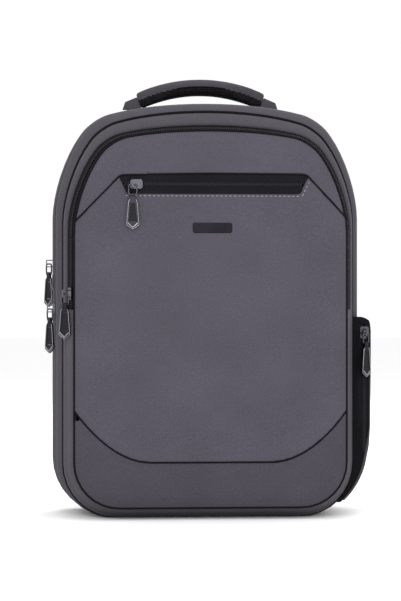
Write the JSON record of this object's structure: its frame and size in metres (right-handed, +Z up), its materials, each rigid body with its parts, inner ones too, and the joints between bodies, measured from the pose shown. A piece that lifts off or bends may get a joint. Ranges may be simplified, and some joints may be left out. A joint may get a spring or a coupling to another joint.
{
  "type": "laptop backpack",
  "caption": "Laptop backpack with a side charging port, arched zips, a front pocket and a zipped side pocket; front section, cover, straps, handle and zip pullers move.",
  "frame": {"origin": "centre of the flat base, on the ground", "axes": "+Z up, the front faces -Y, the shoulder straps are on +Y, +X to the right of someone looking at the front"},
  "size_m": [0.3603, 0.2302, 0.4825],
  "materials": {
    "heather_fabric": "woven, matt, dark grey",
    "panel_fabric": "woven over foam, matt, dark grey",
    "black_fabric": "woven, matt black",
    "lining": "smooth lining cloth, grey",
    "zip_tape": "woven tape and nylon coil, black",
    "spacer_mesh": "spacer mesh over foam, black",
    "webbing": "ribbed webbing, black",
    "black_plastic": "moulded, satin black",
    "zip_metal": "die-cast, gunmetal plating",
    "puller_rubber": "soft, black",
    "socket_metal": "stamped, bright",
    "badge": "satin, grey"
  },
  "bodies": {
    "bag": {"rear_shell": "heather_fabric", "base_board": "lining", "laptop_zip_tapes": "zip_tape", "main_zip_rear_tape": "zip_tape", "laptop_divider": "lining", "back_board": "black_fabric", "back_pad_left": "spacer_mesh", "back_pad_right": "spacer_mesh", "back_pad_lumbar": "spacer_mesh", "strap_yoke": "black_fabric", "strap_feet": "webbing", "port_bezel": "black_plastic", "port_socket": "socket_metal", "power_bank_pocket": "lining", "front_gusset_lower": "heather_fabric", "partition_lower": "lining", "front_panel_lower": "panel_fabric", "handle_roots": "black_fabric", "side_pocket_gusset": "black_fabric", "side_pocket_panel": "panel_fabric", "side_pocket_zip_tapes": "zip_tape"},
    "front_section": {"front_gusset_upper": "heather_fabric", "partition_upper": "lining", "main_zip_front_tape": "zip_tape", "front_zip_outer_tape": "zip_tape", "organiser_pocket": "lining", "front_panel_band": "panel_fabric"},
    "cover": {"front_panel_cover": "panel_fabric", "front_zip_inner_tape": "zip_tape", "pocket_zip_tapes": "zip_tape", "pocket_bag": "lining", "emblem_badge": "badge"},
    "handle": {"handle_grip": "heather_fabric", "handle_tabs": "black_fabric"},
    "strap_left": {"strap_pad_left": "heather_fabric", "strap_buckle_left": "black_plastic", "strap_webbing_left": "webbing"},
    "strap_right": {"strap_pad_right": "heather_fabric", "strap_buckle_right": "black_plastic", "strap_webbing_right": "webbing"},
    "pocket_zip_slider": {"pocket_zip_slider": "zip_metal"},
    "pocket_zip_loop": {"pocket_zip_loop": "zip_metal"},
    "pocket_zip_puller": {"pocket_zip_puller": "zip_metal", "pocket_zip_puller_inlay": "puller_rubber"},
    "front_zip_slider": {"front_zip_slider": "zip_metal"},
    "front_zip_loop": {"front_zip_loop": "zip_metal"},
    "front_zip_puller": {"front_zip_puller": "zip_metal", "front_zip_puller_inlay": "puller_rubber"},
    "main_zip_slider": {"main_zip_slider": "zip_metal"},
    "main_zip_loop": {"main_zip_loop": "zip_metal"},
    "main_zip_puller": {"main_zip_puller": "zip_metal", "main_zip_puller_inlay": "puller_rubber"},
    "laptop_zip_slider": {"laptop_zip_slider": "zip_metal"},
    "laptop_zip_loop": {"laptop_zip_loop": "zip_metal"},
    "laptop_zip_puller": {"laptop_zip_puller": "zip_metal", "laptop_zip_puller_inlay": "puller_rubber"},
    "side_zip_slider": {"side_zip_slider": "zip_metal"},
    "side_zip_loop": {"side_zip_loop": "zip_metal"},
    "side_zip_puller": {"side_zip_puller": "zip_metal", "side_zip_puller_inlay": "puller_rubber"}
  },
  "joints": [
    {"name": "main_opening", "type": "hinge", "parent": "bag", "child": "front_section", "pos_m": [0, -0.086, 0.205], "axis": [1, 0, 0], "range_deg": [0, 30]},
    {"name": "cover_opening", "type": "hinge", "parent": "front_section", "child": "cover", "pos_m": [0, -0.086, 0.254], "axis": [1, 0, 0], "range_deg": [0, 120]},
    {"name": "handle_swing", "type": "hinge", "parent": "bag", "child": "handle", "pos_m": [0, 0.066, 0.4466], "axis": [1, 0, 0], "range_deg": [-25, 25]},
    {"name": "strap_swing_left", "type": "hinge", "parent": "bag", "child": "strap_left", "pos_m": [-0.048, 0.084, 0.425], "axis": [0.2132, 0, 0.977], "range_deg": [-15, 15]},
    {"name": "strap_swing_right", "type": "hinge", "parent": "bag", "child": "strap_right", "pos_m": [0.048, 0.084, 0.425], "axis": [-0.2132, 0, 0.977], "range_deg": [-15, 15]},
    {"name": "pocket_zip_slide", "type": "slide", "parent": "cover", "child": "pocket_zip_slider", "axis": [1, 0, 0], "range_m": [0, 0.16]},
    {"name": "pocket_zip_loop_swing", "type": "hinge", "parent": "pocket_zip_slider", "child": "pocket_zip_loop", "pos_m": [-0.084, -0.08895, 0.357], "axis": [-1, 0, 0], "range_deg": [0, 110]},
    {"name": "pocket_zip_puller_swing", "type": "hinge", "parent": "pocket_zip_loop", "child": "pocket_zip_puller", "pos_m": [-0.084, -0.08895, 0.346], "axis": [-1, 0, 0], "range_deg": [0, 70]},
    {"name": "front_zip_slide", "type": "slide", "parent": "front_section", "child": "front_zip_slider", "axis": [0, 0, 1], "range_m": [0, 0.05]},
    {"name": "front_zip_loop_swing", "type": "hinge", "parent": "front_zip_slider", "child": "front_zip_loop", "pos_m": [-0.15534, -0.07048, 0.2405], "axis": [-0.866, 0.5, 0], "range_deg": [0, 110]},
    {"name": "front_zip_puller_swing", "type": "hinge", "parent": "front_zip_loop", "child": "front_zip_puller", "pos_m": [-0.15534, -0.07048, 0.2295], "axis": [-0.866, 0.5, 0], "range_deg": [0, 70]},
    {"name": "main_zip_slide", "type": "slide", "parent": "bag", "child": "main_zip_slider", "axis": [0, 0, 1], "range_m": [0, 0.085]},
    {"name": "main_zip_loop_swing", "type": "hinge", "parent": "main_zip_slider", "child": "main_zip_loop", "pos_m": [-0.1706, -0.016, 0.2245], "axis": [-0.6428, 0.766, 0], "range_deg": [0, 110]},
    {"name": "main_zip_puller_swing", "type": "hinge", "parent": "main_zip_loop", "child": "main_zip_puller", "pos_m": [-0.1706, -0.016, 0.2135], "axis": [-0.6428, 0.766, 0], "range_deg": [0, 70]},
    {"name": "laptop_zip_slide", "type": "slide", "parent": "bag", "child": "laptop_zip_slider", "axis": [0, 0, 1], "range_m": [0, 0.036]},
    {"name": "laptop_zip_loop_swing", "type": "hinge", "parent": "laptop_zip_slider", "child": "laptop_zip_loop", "pos_m": [-0.1706, 0.051, 0.2745], "axis": [-0.6428, 0.766, 0], "range_deg": [0, 110]},
    {"name": "laptop_zip_puller_swing", "type": "hinge", "parent": "laptop_zip_loop", "child": "laptop_zip_puller", "pos_m": [-0.1706, 0.051, 0.2635], "axis": [-0.6428, 0.766, 0], "range_deg": [0, 70]},
    {"name": "side_zip_slide", "type": "slide", "parent": "bag", "child": "side_zip_slider", "axis": [0, 0, -1], "range_m": [0, 0.09]},
    {"name": "side_zip_loop_swing", "type": "hinge", "parent": "side_zip_slider", "child": "side_zip_loop", "pos_m": [0.17168, -0.0453, 0.1985], "axis": [-0.766, -0.6428, 0], "range_deg": [0, 110]},
    {"name": "side_zip_puller_swing", "type": "hinge", "parent": "side_zip_loop", "child": "side_zip_puller", "pos_m": [0.17168, -0.0453, 0.1875], "axis": [-0.766, -0.6428, 0], "range_deg": [0, 70]}
  ]
}
